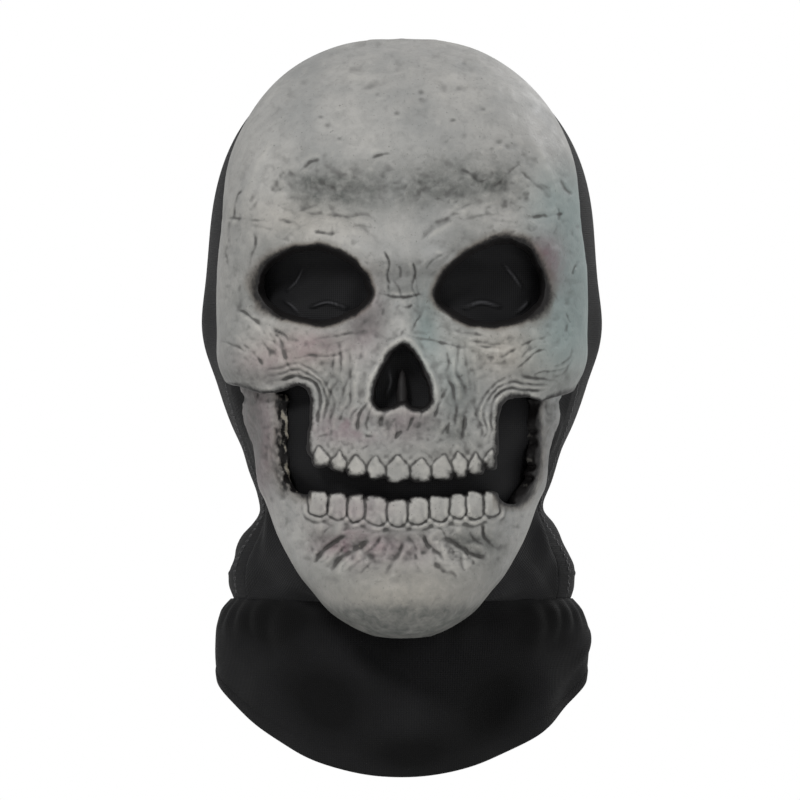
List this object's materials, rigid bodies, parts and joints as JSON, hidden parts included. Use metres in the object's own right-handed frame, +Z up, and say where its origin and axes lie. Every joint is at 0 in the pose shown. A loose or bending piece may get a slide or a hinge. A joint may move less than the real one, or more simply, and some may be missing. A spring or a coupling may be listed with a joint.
{
  "type": "halloween mask",
  "caption": "Slip-on skull mask: a latex skull face and a jaw that follows the wearer's chin, on a black stretch-knit hood with a neck drape and gauze behind its openings.",
  "frame": {"origin": "middle of the head cavity, on the mid-plane at the height of the ears, where the wearer's head holds the mask", "axes": "+Z up the standing head, -Y the way the face looks, +X to the right of a viewer in front of the face"},
  "size_m": [0.179, 0.2043, 0.3308],
  "materials": {
    "latex": "matt cast latex, bone grey, stained and airbrushed black in the hollows",
    "knit": "matt black stretch jersey",
    "gauze": "fine black gauze, seen through from inside",
    "tape": "black woven elastic and binding tape"
  },
  "bodies": {
    "hood": {"skull_face": "latex", "eye_mesh_left": "gauze", "eye_mesh_right": "gauze", "nose_mesh": "gauze", "mouth_mesh": "gauze", "hood_crown": "knit", "hood_left": "knit", "hood_right": "knit", "face_elastic": "tape", "chin_gusset": "knit", "drape_front": "knit", "drape_back": "knit", "neck_tape": "tape", "hem_binding": "tape"},
    "jaw": {"jaw": "latex"}
  },
  "joints": [
    {"name": "jaw_open", "type": "hinge", "parent": "hood", "child": "jaw", "pos_m": [0, -0.002, -0.012], "axis": [1, 0, 0], "range_deg": [-2, 6], "stiffness_Nm_per_rad": 1.2, "springref_deg": -1.92, "deforming": ["mouth_mesh", "chin_gusset"]}
  ]
}
